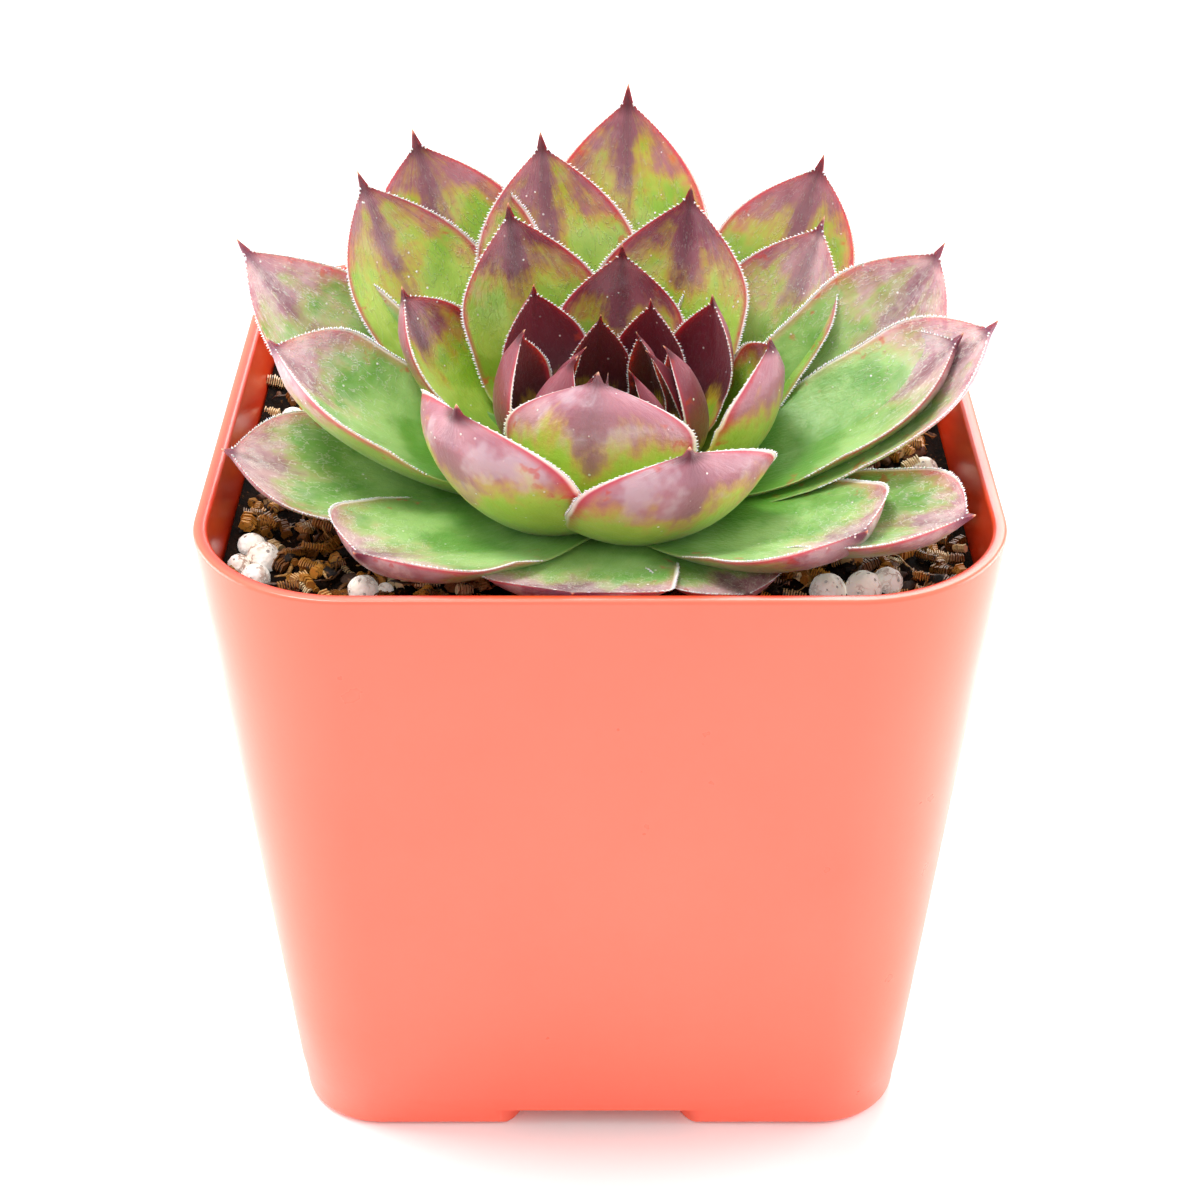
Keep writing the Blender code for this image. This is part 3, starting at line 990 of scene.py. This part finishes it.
def perlite_material():
    """One material that all the white pieces share."""
    found = bpy.data.materials.get("white_grain")
    if found:
        return found
    made = Nodes("white_grain")
    place = made.place()
    tone = made.noise(place, 700, 4)
    cracks = made.size(made.minus(made.noise(place, 1100, 4, 0.6), 0.5))
    cracks = made.times(made.step(cracks, 0.070, 0.020), made.step(made.noise(place, 500, 2), 0.46, 0.58))
    specks = made.step(made.cells(place, 1700), 0.27, 0.17)
    specks = made.times(specks, made.step(made.noise(place, 620, 2), 0.36, 0.48))
    colour = made.mix(made.step(tone, 0.3, 0.7), srgb(240, 232, 216), srgb(255, 254, 250))
    colour = made.mix(made.times(cracks, 0.85), colour, srgb(150, 88, 36))
    colour = made.mix(made.times(specks, 0.9), colour, srgb(92, 58, 34))
    skin = made.bump(specks, -0.00015, 0.6)
    skin = made.bump(made.noise(place, 2600, 4, 0.6), 0.00012, 0.5, skin)
    # A little glow keeps the grains white in the shade of the leaves.
    return made.finish(colour, 0.6, skin, Emission_Color=(1.0, 0.97, 0.92, 1.0), Emission_Strength=0.18)


def stem_material():
    made = Nodes("mottled_stem")
    place = made.place()
    colour = made.mix(made.noise(place, 900, 4), srgb(58, 22, 26), srgb(104, 74, 44))
    return made.finish(colour, 0.5, made.bump(made.noise(place, 2000, 4), 0.0001, 0.4))


def fringe_material():
    made = Nodes("white_fringe")
    place = made.place()
    colour = made.mix(made.noise(place, 1500, 2), srgb(255, 236, 232), srgb(255, 255, 255))
    return made.finish(colour, 0.5, Subsurface_Weight=0.3, Subsurface_Scale=0.0004)


def leaf_material():
    """Green flesh that turns orange and then burgundy towards the tip, with a pink margin and white dots."""
    made = Nodes("houseleek_leaf")
    place = made.place()
    along = made.value("along")
    across = made.value("across")
    under = made.step(made.value("under"), 0.2, 0.8)
    inner = made.value("warmth")
    dust = made.value("dust")
    bud = made.value("bud")
    shift = made.times(made.value("seed"), 40.0)
    edge = made.size(across)
    outer = made.rest(inner)
    top_side = made.rest(under)
    open_leaf = made.rest(bud)

    blade = made.triple(made.plus(made.times(along, 3.0), shift), made.times(across, 5.0), shift)
    streak = made.minus(made.noise(blade, 1.7, 4, 0.6), 0.5)
    blotch = made.minus(made.noise(place, 480, 3, 0.6), 0.5)
    patch = made.noise(place, 230, 3)

    green = made.mix(inner, srgb(100, 154, 58), srgb(130, 172, 34))
    light = made.mix(inner, srgb(168, 204, 124), srgb(184, 208, 88))
    green = made.mix(made.times(made.step(patch, 0.35, 0.68), 0.8), green, light)
    # Towards the base of each blade the green turns darker: painted shade deep in the rosette.
    green = made.mix(made.step(along, 0.60, 0.12), green, srgb(70, 128, 20))
    green = made.mix(made.times(under, 0.55), green, srgb(176, 198, 84))

    wedge = made.step(edge, 0.34, 0.0)
    pushes = (
        (wedge, 0.11),
        (made.work_out("POWER", edge, 5.0), 0.08),
        (blotch, 0.30),
        (streak, 0.20),
        (bud, 0.30),
        (made.times(under, inner), 0.06),
        (made.minus(patch, 0.5), 0.30),
        (made.rest(dust), 0.05),
        (outer, 0.05),
    )
    run = along
    for push, weight in pushes:
        run = made.plus(run, made.times(push, weight))
    flush = made.step(run, 0.73, 0.88)
    blush = made.step(run, 0.80, 0.95)

    warm = made.mix(inner, srgb(206, 178, 128), srgb(196, 142, 24))
    warm = made.mix(made.times(under, 0.7), warm, srgb(212, 152, 104))
    warm = made.mix(made.step(edge, 0.45, 0.95), warm, srgb(206, 108, 86))
    deep = made.mix(inner, srgb(156, 98, 118), srgb(124, 48, 70))
    faded = made.mix(inner, srgb(196, 158, 160), srgb(158, 92, 104))
    deep = made.mix(made.step(patch, 0.42, 0.66), deep, faded)
    below = made.mix(inner, srgb(116, 48, 68), srgb(148, 72, 96))
    below = made.mix(patch, below, made.mix(inner, srgb(168, 116, 126), srgb(192, 144, 150)))
    deep = made.mix(made.times(under, 0.85), deep, below)
    deep = made.mix(made.times(wedge, 0.60), deep, made.mix(under, srgb(78, 26, 42), srgb(138, 96, 108)))
    deep = made.mix(made.times(dust, 0.16), deep, srgb(206, 156, 158))
    # Bud leaves turn near black towards their bases: their own dark maroon, deepened with painted shade of
    # the hollow bud.
    shade = made.mix(made.step(along, 0.35, 0.90), srgb(40, 6, 14), srgb(116, 34, 50))
    shade = made.mix(under, shade, srgb(138, 62, 76))
    deep = made.mix(bud, deep, shade)
    colour = made.mix(made.times(flush, made.blend(inner, 0.45, 0.70)), green, warm)
    colour = made.mix(blush, colour, deep)
    # Greyish white patches near the tips, stronger on the undersides, are a painted highlight.
    painted_highlight = made.times(made.step(made.noise(place, 260, 3), 0.50, 0.62), made.step(along, 0.62, 0.80))
    painted_highlight = made.times(painted_highlight, made.blend(under, 0.10, 0.38))
    painted_highlight = made.times(painted_highlight, open_leaf)
    colour = made.mix(painted_highlight, colour, srgb(208, 196, 202))

    frost = made.times(made.step(along, 0.55, 0.95), made.step(made.noise(place, 600, 4, 0.7), 0.38, 0.68))
    frost = made.times(made.times(frost, outer), 0.45)
    colour = made.mix(frost, colour, srgb(232, 220, 214))

    scribble_place = made.triple(made.plus(made.times(along, 13.0), shift), made.times(across, 6.0), shift)
    scribble = made.size(made.minus(made.noise(scribble_place, 1.3, 3, 0.6), 0.5))
    scribble = made.step(scribble, 0.022, 0.004)
    scribble = made.times(scribble, made.times(made.step(along, 0.45, 0.85), top_side))
    lines = made.times(scribble, made.blend(inner, 0.50, 0.10))
    lines = made.times(lines, open_leaf)
    colour = made.mix(lines, colour, srgb(244, 240, 228))

    spots = made.step(made.noise(place, 900, 2), 0.60, 0.70)
    spots = made.times(spots, made.times(made.step(edge, 0.66, 0.86), made.step(along, 0.25, 0.45)))
    colour = made.mix(made.times(spots, 0.6), colour, srgb(190, 62, 40))

    margin = made.times(made.step(edge, 0.87, 0.965), made.step(along, 0.30, 0.65))
    line = made.mix(inner, srgb(206, 92, 108), srgb(178, 44, 66))
    bare = made.times(outer, top_side)
    colour = made.mix(made.times(margin, made.blend(bare, 0.85, 0.30)), colour, line)
    pale = made.mix(made.step(along, 0.30, 0.65), srgb(206, 222, 150), srgb(254, 232, 226))
    pale_share = made.blend(made.step(along, 0.35, 0.60), 0.25, 0.9)
    colour = made.mix(made.times(made.step(edge, 0.955, 0.988), pale_share), colour, pale)

    spine = made.step(along, 0.925, 0.96)
    colour = made.mix(spine, colour, made.mix(inner, srgb(118, 62, 84), srgb(84, 16, 34)))
    colour = made.mix(made.step(along, 0.982, 1.0), colour, srgb(240, 168, 134))

    dots = made.step(made.cells(place, 1050), 0.115, 0.075)
    dots = made.times(dots, made.step(made.noise(place, 330, 2), 0.46, 0.60))
    dots = made.times(dots, made.step(along, 0.35, 0.65))
    colour = made.mix(made.times(dots, 0.9), colour, srgb(255, 250, 246))

    skin = made.bump(made.noise(place, 2400, 4, 0.6), 0.00005, 0.5)
    skin = made.bump(scribble, 0.00010, 0.6, skin)
    skin = made.bump(made.noise(scribble_place, 2.6, 4, 0.6), 0.00022, 0.35, skin)
    skin = made.bump(dots, 0.00010, 0.8, skin)
    rough = made.blend(made.noise(place, 700, 3), 0.32, 0.46)
    return made.finish(
        colour,
        rough,
        skin,
        Subsurface_Weight=0.25,
        Subsurface_Scale=0.0014,
        Sheen_Weight=0.10,
        Sheen_Roughness=0.4,
    )


def build_stage():
    """A plain pale floor, soft studio light and the camera at the photograph's angle."""
    size = 3.0
    drop = 0.00002
    corners = [(-size, -size, 0), (size, -size, 0), (size, size, 0), (-size, size, 0)]
    floor_mesh = bpy.data.meshes.new("floor")
    floor_mesh.from_pydata(corners, [], [(0, 1, 2, 3)])
    floor = bpy.data.objects.new("floor", floor_mesh)
    floor.location = (0, 0, -drop)
    bpy.context.scene.collection.objects.link(floor)
    floor_mesh.materials.append(Nodes("pale_floor").finish(srgb(252, 252, 252), 0.6, Specular_IOR_Level=0.2))

    world = bpy.data.worlds.new("studio")
    bpy.context.scene.world = world
    world.use_nodes = True
    background = world.node_tree.nodes["Background"]
    background.inputs["Color"].default_value = (1.0, 1.0, 1.0, 1.0)
    background.inputs["Strength"].default_value = 1.0

    lamps = (
        ("key", (-0.16, 0.02, 0.55), 0.16, 2.0),
        ("back", (0.10, 0.40, 0.38), 0.30, 1.8),
        ("left", (-0.45, 0.10, 0.05), 0.40, 3.2),
        ("right", (0.45, 0.10, 0.05), 0.40, 4.0),
    )
    aim = Vector((0, 0, 0.045))
    for name, place, width, power in lamps:
        light = bpy.data.lights.new(name, "AREA")
        light.energy = power
        light.size = width
        lamp = bpy.data.objects.new(name, light)
        lamp.location = place
        lamp.rotation_euler = (aim - Vector(place)).to_track_quat("-Z", "Y").to_euler()
        bpy.context.scene.collection.objects.link(lamp)

    camera_data = bpy.data.cameras.new("camera")
    camera_data.lens = 75.0
    camera_data.sensor_width = 36.0
    camera_data.clip_start = 0.005
    camera = bpy.data.objects.new("camera", camera_data)
    distance = 0.1985
    elevation = math.radians(31.05)
    target = Vector((0, 0, 0.034))
    camera.location = target + Vector((0, -math.cos(elevation), math.sin(elevation))) * distance
    camera.rotation_euler = (target - camera.location).to_track_quat("-Z", "Y").to_euler()
    bpy.context.scene.collection.objects.link(camera)
    bpy.context.scene.camera = camera
    bpy.context.scene.view_settings.view_transform = "Standard"


def main():
    build_stage()
    build_pot()
    build_soil()
    build_perlite()
    build_core()
    leaf_look = leaf_material()
    fringe_look = fringe_material()
    for number, row in enumerate(LEAVES, 1):
        seed = (number * 0.618) % 1.0
        build_leaf(f"leaf_{number:02d}", seed, Leaf(*row), leaf_look, fringe_look, "rosette")
    for number, row in enumerate(HEART_LEAVES, 1):
        seed = (number * 0.382) % 1.0
        build_leaf(f"heart_leaf_{number}", seed, Leaf(*row), leaf_look, fringe_look, None)


main()
